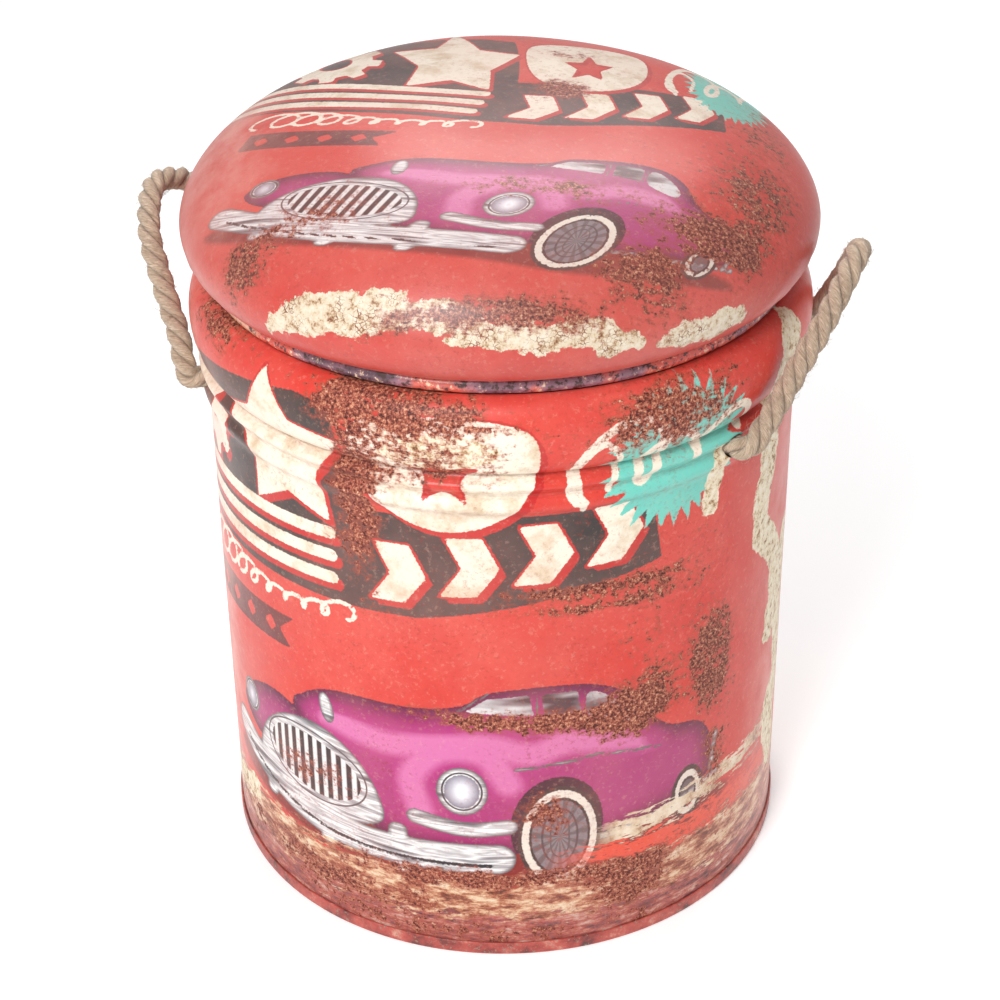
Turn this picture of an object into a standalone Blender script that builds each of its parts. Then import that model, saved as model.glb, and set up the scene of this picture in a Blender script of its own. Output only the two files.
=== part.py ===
"""Printed steel drum stool with a padded lift-off lid and two rope handles.

Metres, +Z up.  The origin is on the drum's axis, on the floor.  -Y is the front.
"""

import bmesh
import bpy
import numpy as np
from math import cos, pi, radians, sin, sqrt
from mathutils import Matrix, Vector

# Driving dimensions of the drum ------------------------------------------------
WALL_R = 0.1525            # outer radius of the plain wall
SHEET = 0.0009             # sheet steel
GAP = 0.0003               # between pieces that touch
SEGMENTS = 54              # facets round every turned piece

CHIME_R = 0.15365          # outer radius of the seam round the foot
CHIME_H = 0.0075
PANEL_Z = 0.004            # underside of the bottom panel, above the floor

PLAIN_TOP = 0.2705         # top of the plain wall
RIDGE_LOW = (0.1559, 0.2791)      # crest radius and height of the lower ridge
VALLEY = (0.1533, 0.2848)         # between the two ridges
RIDGE_HIGH = (0.1566, 0.2905)
NECK = (0.1513, 0.2963)           # groove under the shoulder
SHOULDER = (0.1597, 0.3164)       # widest point of the shoulder
RIM_R = 0.1470             # where the shoulder turns into the curl
RIM_TOP = 0.3357
CURL_R = 0.0033            # outer radius of the curled edge's section
WIRE_R = 0.0021

# Rope handles --------------------------------------------------------------------
ROPE_R = 0.006
ROPE_BEND_R = 1.075 * WALL_R      # where the rope turns up, outside the wall
HOLE_Z = 0.2844
HOLE_HALF_SPAN = 28               # degrees from a handle's middle to its holes
HOLE_R = ROPE_R + 0.0004
KNOT_R = 0.0115
HANDLE_MIDDLE = {"right": -16, "left": 164}     # azimuth in degrees from +X
ROPE_STEP = 0.007                 # spacing of the tube's points
BEND_GAP = 0.0015                 # between the ball at a bend and the swinging rope

# Routes in cylindrical terms: radius / WALL_R, azimuth in degrees, height / WALL_R.
ROUTES = {
    "right": [(1.075, -44, 1.865), (1.085, -39, 1.945), (1.105, -33, 2.06),
              (1.155, -26.5, 2.225), (1.19, -17, 2.35), (1.175, -8, 2.26),
              (1.13, -2, 2.09), (1.092, 4, 1.945), (1.075, 12, 1.865)],
    "left": [(1.075, 192, 1.865), (1.09, 186, 1.98), (1.145, 179.5, 2.13),
             (1.195, 173.5, 2.255), (1.225, 164, 2.325), (1.19, 154, 2.24),
             (1.13, 148.5, 2.09), (1.094, 143, 1.95), (1.075, 136, 1.865)],
}

# Lid -----------------------------------------------------------------------------
HOOP_RING_R = 0.1446
HOOP_Z = 0.3399
HOOP_R = 0.0042
COVER = 0.001              # leatherette
COVER_FOOT = (0.1475, 0.3444)     # where the cover turns under the board
COVER_TUCK_R = 0.1405
SEAT_R = 0.1609
SEAT_Z = 0.3631            # height of the seat's widest line
SEAT_TOP = 0.4252
DOME_ROUND = 2.65          # superellipse exponents of the dome, in radius
DOME_FLAT = 1.72           # and in height
SIDE_STEPS = 3             # facets up the seat's side
DOME_STEPS = 9             # facets from its widest line to its middle
BOARD_R = 0.1462
BOARD_T = 0.010
DISC_R = 0.1395
DISC_T = 0.012
LINER_R = 0.1375
LINER_T = 0.001
SCREW_COUNT = 6
SCREW_RING_R = 0.110
SCREW_R = 0.002
SCREW_HEAD_R = 0.0045
SCREW_HEAD_H = 0.0022
SCREW_BITE = 0.007         # length inside the board


def material(name, colour, roughness, metallic=0.0):
    made = bpy.data.materials.new(name)
    made.use_nodes = True
    shader = made.node_tree.nodes["Principled BSDF"]
    shader.inputs["Base Color"].default_value = (*colour, 1.0)
    shader.inputs["Roughness"].default_value = roughness
    shader.inputs["Metallic"].default_value = metallic
    return made


def add_object(name, mesh, look):
    mesh.materials.append(look)
    made = bpy.data.objects.new(name, mesh)
    bpy.context.scene.collection.objects.link(made)
    return made


def turned(name, outline, look, closed=False, segments=SEGMENTS):
    """Turn an outline of (radius, height) points about Z.

    An open outline starts and ends on the axis; a closed one makes a ring.
    """
    bm = bmesh.new()
    verts = [bm.verts.new((r, 0, z)) for r, z in outline]
    edges = [bm.edges.new(pair) for pair in zip(verts, verts[1:])]
    if closed:
        edges.append(bm.edges.new((verts[-1], verts[0])))
    bmesh.ops.spin(bm, geom=verts + edges, angle=2 * pi, steps=segments,
                   axis=(0, 0, 1), cent=(0, 0, 0), use_merge=True)
    bmesh.ops.remove_doubles(bm, verts=bm.verts, dist=1e-6)
    bmesh.ops.recalc_face_normals(bm, faces=bm.faces)
    mesh = bpy.data.meshes.new(name)
    bm.to_mesh(mesh)
    bm.free()
    mesh.shade_smooth()
    mesh.set_sharp_from_angle(angle=radians(35))
    return add_object(name, mesh, look)


def arc(centre, radius, start, end, steps):
    """Points on an arc in the (radius, height) plane, angles in degrees."""
    angles = [radians(start + (end - start) * i / steps) for i in range(steps + 1)]
    return [(centre[0] + radius * cos(a), centre[1] + radius * sin(a)) for a in angles]


def eased(low, high, steps):
    """Points from one crest or valley to the next along half a cosine wave."""
    points = []
    for i in range(1, steps + 1):
        along = i / steps
        lift = (1 - cos(pi * along)) / 2
        points.append((low[0] + (high[0] - low[0]) * lift,
                       low[1] + (high[1] - low[1]) * along))
    return points


def offset(points, distance):
    """Move a chain of points square to itself, to its left side."""
    moved = []
    last = len(points) - 1
    for i, (r, z) in enumerate(points):
        before = points[max(i - 1, 0)]
        after = points[min(i + 1, last)]
        dr, dz = after[0] - before[0], after[1] - before[1]
        length = sqrt(dr * dr + dz * dz)
        moved.append((r - dz / length * distance, z + dr / length * distance))
    return moved


def place(radius, azimuth, height):
    angle = radians(azimuth)
    return Vector((radius * cos(angle), radius * sin(angle), height))


def cut(target, cutter):
    """Cut a closed guide shape out of a piece and hide the guide."""
    cutter.hide_render = True
    cutter.display_type = "WIRE"
    modifier = target.modifiers.new("cut_" + cutter.name, "BOOLEAN")
    modifier.operation = "DIFFERENCE"
    modifier.solver = "EXACT"
    modifier.object = cutter


def rods(name, spots, radius, length, sides, look):
    """One guide object of straight rods, each centred on a spot and lying along
    the direction given with it."""
    bm = bmesh.new()
    for centre, direction in spots:
        turn = Vector((0, 0, 1)).rotation_difference(direction).to_matrix().to_4x4()
        bmesh.ops.create_cone(bm, cap_ends=True, segments=sides, radius1=radius,
                              radius2=radius, depth=length,
                              matrix=Matrix.Translation(centre) @ turn)
    mesh = bpy.data.meshes.new(name)
    bm.to_mesh(mesh)
    bm.free()
    return add_object(name, mesh, look)


def smooth_route(stations):
    """Dense points along a cubic curve through a list of cylindrical stations."""
    knots = [np.array(place(r * WALL_R, az, z * WALL_R)) for r, az, z in stations]
    knots = [2 * knots[0] - knots[1]] + knots + [2 * knots[-1] - knots[-2]]
    per_span = 40
    dense = []
    for a, b, c, d in zip(knots, knots[1:], knots[2:], knots[3:]):
        for i in range(per_span):
            t = i / per_span
            dense.append(0.5 * (2 * b + (c - a) * t + (2 * a - 5 * b + 4 * c - d) * t ** 2
                                + (3 * b - a - 3 * c + d) * t ** 3))
    dense.append(knots[-2])
    return np.array(dense)


def evenly_spaced(dense, start, spacing):
    """Points at even distances along a dense curve, trimmed by start at both ends."""
    steps = np.linalg.norm(np.diff(dense, axis=0), axis=1)
    run = np.concatenate([[0.0], np.cumsum(steps)])
    count = round((run[-1] - 2 * start) / spacing)
    wanted = np.linspace(start, run[-1] - start, count + 1)
    return np.stack([np.interp(wanted, run, dense[:, k]) for k in range(3)], axis=1)


# Drum ----------------------------------------------------------------------------
def shoulder_points():
    """Quarter ellipses from the neck out to the widest point and in to the rim."""
    points = []
    for i in range(1, 4):
        a = radians(30 * i)
        points.append((NECK[0] + (SHOULDER[0] - NECK[0]) * sin(a),
                       SHOULDER[1] - (SHOULDER[1] - NECK[1]) * cos(a)))
    for i in range(1, 5):
        a = radians(22.5 * i)
        points.append((RIM_R + (SHOULDER[0] - RIM_R) * cos(a),
                       SHOULDER[1] + (RIM_TOP - SHOULDER[1]) * sin(a)))
    return points


def make_drum_shell(look, hole_spots):
    """Rolled wall with two swaged ridges, a shoulder and a curled, wired edge."""
    foot_z = SHEET + GAP
    outside = [(WALL_R, foot_z), (WALL_R, PLAIN_TOP)]
    for low, high in ((outside[-1], RIDGE_LOW), (RIDGE_LOW, VALLEY),
                      (VALLEY, RIDGE_HIGH), (RIDGE_HIGH, NECK)):
        outside += eased(low, high, 2)
    outside += shoulder_points()
    curl_centre = (RIM_R, RIM_TOP - CURL_R)
    outside += arc(curl_centre, CURL_R, 125, 300, 5)
    inside = offset(outside, SHEET)
    inside[0] = (WALL_R - SHEET, foot_z)
    shell = turned("drum_shell", outside + inside[::-1], look, closed=True)
    cutter = rods("hole_cutter", hole_spots, HOLE_R, 0.03, 12, look)
    cut(shell, cutter)
    return shell


def make_drum_bottom(look):
    """Pressed panel whose edge is folded round the foot of the wall."""
    skirt_in = WALL_R + GAP
    leg_out = WALL_R - SHEET - GAP
    leg_in = leg_out - SHEET
    round_off = 0.0006
    outline = [
        (0, PANEL_Z), (leg_in, PANEL_Z), (leg_in, 0),
        (CHIME_R - round_off, 0), (CHIME_R, round_off),
        (CHIME_R, CHIME_H - round_off), (CHIME_R - round_off / 2, CHIME_H),
        (skirt_in, CHIME_H), (skirt_in, SHEET), (leg_out, SHEET),
        (leg_out, PANEL_Z + SHEET), (0, PANEL_Z + SHEET),
    ]
    return turned("drum_bottom", outline, look)


def make_rim_wire(look):
    section = arc((RIM_R, RIM_TOP - CURL_R), WIRE_R, 0, 300, 5)
    return turned("rim_wire", section, look, closed=True)


def make_knot(name, azimuth, look):
    """The rope's end: a round knot inside the wall and the stub through its hole.

    The stub ends in a ball centred on the point where the rope turns up.
    """
    inner_wall = VALLEY[0] - SHEET
    knot_at = -(ROPE_BEND_R - (inner_wall - KNOT_R - 0.0006))
    outline = arc((0, 0), ROPE_R, 90, 0, 3)
    throat = sqrt(KNOT_R ** 2 - ROPE_R ** 2)
    neck_angle = 90 - np.degrees(np.arctan2(ROPE_R, throat))
    outline += arc((0, knot_at), KNOT_R, neck_angle, -90, 6)
    outline[0] = (0, ROPE_R)
    outline[-1] = (0, knot_at - KNOT_R)
    knot = turned(name, outline, look, segments=12)
    outward = place(1, azimuth, 0)
    knot.location = place(ROPE_BEND_R, azimuth, HOLE_Z)
    knot.rotation_mode = "QUATERNION"
    knot.rotation_quaternion = Vector((0, 0, 1)).rotation_difference(outward)
    return knot


# Rope handles --------------------------------------------------------------------
def make_handle(side, look):
    """A bowed rope whose parent empty lies on the line through its two bends."""
    middle = HANDLE_MIDDLE[side]
    pivot = place(ROPE_BEND_R * cos(radians(HOLE_HALF_SPAN)), middle, HOLE_Z)
    hinge = bpy.data.objects.new(side + "_hinge", None)
    bpy.context.scene.collection.objects.link(hinge)
    hinge.location = pivot
    curve = bpy.data.curves.new(side + "_handle", "CURVE")
    curve.dimensions = "3D"
    curve.bevel_depth = ROPE_R
    curve.bevel_resolution = 2
    curve.use_fill_caps = True
    points = evenly_spaced(smooth_route(ROUTES[side]), ROPE_R + BEND_GAP, ROPE_STEP)
    spline = curve.splines.new("POLY")
    spline.points.add(len(points) - 1)
    for slot, point in zip(spline.points, points):
        slot.co = (*(Vector(point) - pivot), 1)
    curve.materials.append(look)
    handle = bpy.data.objects.new(side + "_handle", curve)
    bpy.context.scene.collection.objects.link(handle)
    handle.parent = hinge
    return handle


# Lid -----------------------------------------------------------------------------
def seat_side(steps_low, steps_dome):
    """Outer line of the seat from its foot to the middle of the dome."""
    points = []
    for i in range(steps_low):
        a = radians(90 * i / steps_low)
        points.append((COVER_FOOT[0] + (SEAT_R - COVER_FOOT[0]) * sin(a),
                       SEAT_Z - (SEAT_Z - COVER_FOOT[1]) * cos(a)))
    for i in range(steps_dome + 1):
        a = pi / 2 * (i / steps_dome)
        points.append((SEAT_R * max(cos(a), 0) ** (2 / DOME_ROUND),
                       SEAT_Z + (SEAT_TOP - SEAT_Z) * sin(a) ** (2 / DOME_FLAT)))
    points[-1] = (0, SEAT_TOP)
    return points


def make_seat_cover(look):
    """Leatherette skin, pulled over the foam and tucked under the board."""
    foot_z = COVER_FOOT[1]
    outside = seat_side(SIDE_STEPS, DOME_STEPS)
    inside = offset(outside, COVER)
    inside[0] = (COVER_FOOT[0] - COVER / 2, foot_z + COVER)
    inside[-1] = (0, SEAT_TOP - COVER)
    tuck = [(COVER_TUCK_R, foot_z + COVER), (COVER_TUCK_R, foot_z)]
    outline = inside[::-1] + tuck + outside
    return turned("seat_cover", outline, look)


def make_seat_foam(look):
    """Moulded foam dome that fills the cover above the board."""
    board_top = COVER_FOOT[1] + COVER + GAP + BOARD_T
    bottom = board_top + GAP
    side = offset(seat_side(SIDE_STEPS, DOME_STEPS), COVER + GAP)
    above = [point for point in side if point[1] > bottom + 0.001]
    above[-1] = (0, SEAT_TOP - COVER - GAP)
    start_r = above[0][0] - 0.002
    return turned("seat_foam", [(0, bottom), (start_r, bottom)] + above, look)


def disc_outline(radius, bottom, thickness, bevel):
    top = bottom + thickness
    return [(0, bottom), (radius - bevel, bottom), (radius, bottom + bevel),
            (radius, top - bevel), (radius - bevel, top), (0, top)]


def screw_spots(height):
    step = 360 / SCREW_COUNT
    up = Vector((0, 0, 1))
    return [(place(SCREW_RING_R, 90 + step * i, height), up) for i in range(SCREW_COUNT)]


def make_lid(wood, disc_look, cloth, print_look, foam, leather, steel):
    board_bottom = COVER_FOOT[1] + COVER + GAP
    disc_bottom = board_bottom - GAP - DISC_T
    liner_bottom = disc_bottom - GAP - LINER_T
    make_seat_cover(leather)
    make_seat_foam(foam)
    section = arc((HOOP_RING_R, HOOP_Z), HOOP_R, 0, 324, 9)
    turned("lid_hoop", section, print_look, closed=True)
    board = turned("seat_board", disc_outline(BOARD_R, board_bottom, BOARD_T, 0.001), wood)
    disc = turned("locating_disc", disc_outline(DISC_R, disc_bottom, DISC_T, 0.001),
                  disc_look)
    liner = turned("lid_liner", disc_outline(LINER_R, liner_bottom, LINER_T, 0.0002),
                   cloth)
    head_top = liner_bottom - GAP
    tip = board_bottom + SCREW_BITE
    drill_r = SCREW_R + GAP
    drill_length = tip + GAP - (liner_bottom - 0.002)
    drills = rods("drill", screw_spots(tip + GAP - drill_length / 2), drill_r,
                  drill_length, 12, steel)
    for piece in (board, disc, liner):
        cut(piece, drills)
    outline = [
        (0, -SCREW_HEAD_H), (SCREW_HEAD_R * 0.6, -SCREW_HEAD_H),
        (SCREW_HEAD_R, -SCREW_HEAD_H * 0.45), (SCREW_HEAD_R, 0), (SCREW_R, 0),
        (SCREW_R, tip - head_top - 0.003), (0, tip - head_top),
    ]
    first = turned("lid_screw_1", outline, steel, segments=12)
    for number, (spot, _) in enumerate(screw_spots(head_top), start=1):
        screw = first if number == 1 else add_copy(first, "lid_screw_%d" % number)
        screw.location = spot


def add_copy(original, name):
    made = bpy.data.objects.new(name, original.data)
    bpy.context.scene.collection.objects.link(made)
    return made


def main():
    for old in list(bpy.data.objects):
        bpy.data.objects.remove(old, do_unlink=True)
    printed = material("printed_tin", (0.62, 0.13, 0.10), 0.42)
    foot = material("foot_tin", (0.50, 0.16, 0.12), 0.45)
    wire = material("wire_steel", (0.50, 0.50, 0.50), 0.4, 1.0)
    rope = material("jute_rope", (0.42, 0.29, 0.17), 0.9)
    leather = material("printed_leatherette", (0.66, 0.16, 0.13), 0.3)
    hoop = material("printed_hoop", (0.60, 0.20, 0.18), 0.35)
    foam = material("seat_foam", (0.85, 0.80, 0.60), 0.95)
    wood = material("board_wood", (0.55, 0.40, 0.24), 0.7)
    disc = material("disc_wood", (0.50, 0.36, 0.22), 0.7)
    cloth = material("liner_cloth", (0.03, 0.03, 0.03), 0.95)
    screw = material("screw_steel", (0.55, 0.52, 0.45), 0.35, 1.0)

    hole_azimuths = {}
    for side, middle in HANDLE_MIDDLE.items():
        ends = (middle - HOLE_HALF_SPAN, middle + HOLE_HALF_SPAN)
        front, back = sorted(ends, key=lambda az: sin(radians(az)))
        hole_azimuths["rope_knot_%s_front" % side] = front
        hole_azimuths["rope_knot_%s_back" % side] = back
    spots = [(place(VALLEY[0], az, HOLE_Z), place(1, az, 0)) for az in hole_azimuths.values()]

    make_drum_shell(printed, spots)
    make_drum_bottom(foot)
    make_rim_wire(wire)
    for name, azimuth in hole_azimuths.items():
        make_knot(name, azimuth, rope)
    for side in HANDLE_MIDDLE:
        make_handle(side, rope)
    make_lid(wood, disc, cloth, hoop, foam, leather, screw)


main()
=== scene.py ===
"""A printed, distressed drum stool: artwork, wear, padded seat and rope handles."""
from math import cos, pi, radians, sin, sqrt

import bmesh
import bpy
import numpy as np
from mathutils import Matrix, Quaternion, Vector


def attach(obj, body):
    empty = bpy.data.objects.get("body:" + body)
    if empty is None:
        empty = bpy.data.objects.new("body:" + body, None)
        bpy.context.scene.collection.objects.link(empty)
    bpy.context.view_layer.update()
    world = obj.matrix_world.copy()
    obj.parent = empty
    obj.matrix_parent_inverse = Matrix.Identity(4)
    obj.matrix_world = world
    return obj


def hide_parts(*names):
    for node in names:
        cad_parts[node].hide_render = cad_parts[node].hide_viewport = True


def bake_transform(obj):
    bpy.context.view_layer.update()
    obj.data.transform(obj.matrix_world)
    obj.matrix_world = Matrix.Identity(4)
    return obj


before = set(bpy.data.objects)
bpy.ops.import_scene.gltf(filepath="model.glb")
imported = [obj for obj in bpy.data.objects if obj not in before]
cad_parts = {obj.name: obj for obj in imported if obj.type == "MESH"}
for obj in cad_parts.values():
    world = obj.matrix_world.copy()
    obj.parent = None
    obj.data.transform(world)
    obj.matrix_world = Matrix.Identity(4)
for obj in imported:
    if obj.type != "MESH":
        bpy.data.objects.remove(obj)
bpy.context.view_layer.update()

MM = 0.001

# Sizes of the drum and the lid, as in the CAD, in metres ------------------------
WALL_R = 0.1525
SHEET = 0.0009
GAP = 0.0003
PLAIN_TOP = 0.2705
RIDGE_LOW = (0.1559, 0.2791)
VALLEY = (0.1533, 0.2848)
RIDGE_HIGH = (0.1566, 0.2905)
NECK = (0.1513, 0.2963)
SHOULDER = (0.1597, 0.3164)
RIM_R = 0.1470
RIM_TOP = 0.3357
CURL_R = 0.0033
CHIME_R = 0.15365
CHIME_H = 0.0075
PANEL_Z = 0.004
ROPE_R = 0.006
HOLE_Z = 0.2844
HOLE_R = ROPE_R + 0.0004
HOLE_HALF_SPAN = 28
HANDLE_MIDDLE = {"right": -16, "left": 164}
HOOP_RING_R = 0.1446
HOOP_Z = 0.3399
HOOP_R = 0.0042
COVER = 0.001
COVER_FOOT = (0.1475, 0.3444)
COVER_TUCK_R = 0.1405
SEAT_R = 0.1609
SEAT_Z = 0.3631
SEAT_TOP = 0.4252
DOME_ROUND = 2.65
DOME_FLAT = 1.72

FAR = 99.0                  # a distance, in millimetres, that means well outside a shape
NO_SHAPE = 9.0              # the same in wall radii
FLAKE_REACH = 40            # the largest stored distance to bare plaster, in millimetres

# How finely the pieces are made -------------------------
DRUM_COLUMNS = 432
WALL_ROW = 2.25 * MM
SEAT_COLUMNS = 400
SEAT_ROW = 1.9 * MM
FOOT_COLUMNS = 240
HOOP_COLUMNS = 360
HOOP_SIDES = 24
ROPE_STEP = 1.0 * MM
STRAND_SIDES = 26


# Plane shapes: signed distance, negative inside, of points p (N x 2) ------------------------
def turned_about(p, centre, degrees_turned):
    a = radians(degrees_turned)
    q = p - np.array(centre)
    return np.stack([q[:, 0] * cos(a) + q[:, 1] * sin(a),
                     -q[:, 0] * sin(a) + q[:, 1] * cos(a)], axis=1)


def oval(p, centre, radii, turn=0):
    q = turned_about(p, centre, turn)
    r = np.array(radii)
    k0 = np.linalg.norm(q / r, axis=1)
    k1 = np.linalg.norm(q / r ** 2, axis=1)
    return k0 * (k0 - 1) / np.maximum(k1, 1e-6)


def slab(p, centre, half, turn=0, corner=0.0):
    q = np.abs(turned_about(p, centre, turn)) - np.array(half) + corner
    outside = np.linalg.norm(np.maximum(q, 0), axis=1)
    return outside + np.minimum(q.max(axis=1), 0) - corner


def stroke(p, points, width):
    """Distance to a line of the given width through the points."""
    points = np.array(points, float)
    best = np.full(len(p), NO_SHAPE)
    margin = 0.08 + width
    low, high = points.min(0) - margin, points.max(0) + margin
    near = ((p > low) & (p < high)).all(axis=1)
    q = p[near]
    found = np.full(len(q), NO_SHAPE)
    for a, b in zip(points, points[1:]):
        along = b - a
        t = np.clip((q - a) @ along / (along @ along), 0, 1)
        found = np.minimum(found, np.linalg.norm(q - a - t[:, None] * along, axis=1))
    best[near] = found - width / 2
    return best


def outline(p, points):
    """Signed distance to a closed outline of straight edges."""
    points = np.array(points, float)
    result = np.full(len(p), NO_SHAPE)
    low, high = points.min(0) - 0.08, points.max(0) + 0.08
    near = ((p > low) & (p < high)).all(axis=1)
    q = p[near]
    least = np.full(len(q), NO_SHAPE ** 2)
    inside = np.zeros(len(q), bool)
    for a, b in zip(points, np.roll(points, -1, axis=0)):
        edge = b - a
        w = q - a
        t = np.clip(w @ edge / (edge @ edge), 0, 1)
        least = np.minimum(least, ((w - t[:, None] * edge) ** 2).sum(axis=1))
        crosses = (a[1] <= q[:, 1]) != (b[1] <= q[:, 1])
        side = edge[0] * w[:, 1] - edge[1] * w[:, 0]
        inside ^= crosses & ((side > 0) == (edge[1] > 0))
    result[near] = np.where(inside, -1, 1) * np.sqrt(least)
    return result


def rounded(points, closed=True, steps=5):
    """A smooth curve through a few points."""
    points = [np.array(q, float) for q in points]
    if closed:
        ring = [points[-1]] + points + points[:2]
    else:
        ring = [2 * points[0] - points[1]] + points + [2 * points[-1] - points[-2]]
    curve = []
    for a, b, c, d in zip(ring, ring[1:], ring[2:], ring[3:]):
        for i in range(steps):
            t = i / steps
            curve.append(0.5 * (2 * b + (c - a) * t + (2 * a - 5 * b + 4 * c - d) * t ** 2
                                + (3 * b - a - 3 * c + d) * t ** 3))
    if not closed:
        curve.append(points[-1])
    return curve


def blob(p, points):
    """Signed distance to a smooth closed outline through a few points."""
    return outline(p, rounded(points))


def bend(p, points, width):
    """Distance to a smooth line of the given width through a few points."""
    return stroke(p, rounded(points, closed=False), width)


def joined(*shapes):
    return np.minimum.reduce(shapes)


def star_points(centre, outer, inner, count, turn=90):
    points = []
    for i in range(2 * count):
        radius = outer if i % 2 == 0 else inner
        a = radians(turn + 180 * i / count)
        points.append((centre[0] + radius * cos(a), centre[1] + radius * sin(a)))
    return points


def loops(start, end, count, height, lean=1.3):
    """A row of joined handwriting-like loops from start to end, with no letters in it."""
    start, end = np.array(start), np.array(end)
    along = end - start
    length = np.linalg.norm(along)
    along = along / length
    up = np.array([-along[1], along[0]])
    points = []
    total = 18 * count
    for i in range(total + 1):
        t = i / total
        phase = 2 * pi * count * t
        grow = 1 + 0.5 * sin(5.3 * t + 1)
        x = t * length - lean * height / 2 * grow * sin(phase)
        y = height / 2 * grow * (1 - cos(phase))
        points.append(start + along * (x + 0.35 * y) + up * y)
    return points


# Artwork ------------------------
# Printed sheet coordinates: u runs to the right and v up, both in wall radii.
def sign_layers(p):
    """The dark panel with its pale cog, star, shield, chevrons and bars."""
    panel = joined(
        outline(p, [(-1.60, 1.93), (-1.15, 2.03), (-0.50, 2.14), (-0.36, 2.13),
                    (-0.30, 1.74), (-1.60, 1.55)]),
        outline(p, [(-1.60, 1.62), (-0.33, 1.76), (0.20, 1.79), (0.66, 1.80), (0.70, 1.55),
                    (-0.10, 1.39), (-0.36, 1.38), (-1.60, 1.34)]))
    cog_centre = (-1.12, 1.83)
    q = p - np.array(cog_centre)
    reach = np.linalg.norm(q, axis=1)
    teeth = 0.185 + 0.022 * np.clip(4 * np.cos(9 * np.arctan2(q[:, 1], q[:, 0])), -1, 1)
    cog = np.maximum(reach - teeth, 0.075 - reach)
    star = outline(p, star_points((-0.60, 1.89), 0.290, 0.160, 5, 96))
    shield = blob(p, [(-0.28, 2.10), (-0.02, 2.15), (0.25, 2.11), (0.27, 1.92),
                      (0.17, 1.78), (-0.01, 1.725), (-0.19, 1.78), (-0.29, 1.92)])
    shield = np.maximum(shield, -outline(p, star_points((-0.01, 1.94), 0.125, 0.058, 5)))
    tip = 0.075
    chevrons = []
    for i in range(4):
        x, y = -0.27 + 0.235 * i, 1.435 + 0.048 * i
        chevrons.append(outline(p, [(x, y), (x + 0.12, y + 0.005), (x + 0.12 + tip, y + 0.11),
                                    (x + 0.14, y + 0.225), (x + 0.02, y + 0.22),
                                    (x + tip, y + 0.11)]))
    bars = [stroke(p, [(-1.50, level - 0.075), (-0.41, level)], 0.046)
            for level in (1.635, 1.55, 1.465)]
    return {"panel": panel, "block": joined(cog, star, shield, *chevrons),
            "bar": joined(*bars)}


def flourish_layers(p):
    """Loops in place of lettering, the notched ribbon and the spiked burst."""
    loop = stroke(p, loops((-1.20, 1.215), (-0.36, 1.315), 9, 0.075), 0.016)
    swirl = stroke(p, loops((0.42, 1.83), (1.00, 1.93), 3, 0.17, 0.8), 0.030)
    tail = bend(p, [(0.42, 1.80), (0.40, 1.95), (0.47, 2.04), (0.53, 1.98), (0.50, 1.86)],
                0.022)
    burst = outline(p, star_points((0.745, 1.925), 0.285, 0.205, 30))
    ribbon = outline(p, [(-1.20, 1.04), (-0.62, 1.09), (-0.68, 1.15), (-0.60, 1.22),
                         (-1.20, 1.17)])
    pips = [slab(p, (-1.12 + 0.13 * i, 1.108 + 0.013 * i), (0.024, 0.024), 45)
            for i in range(4)]
    return {"loop": joined(loop, swirl, tail), "burst": burst,
            "ribbon": np.maximum(ribbon, -joined(*pips))}


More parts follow.
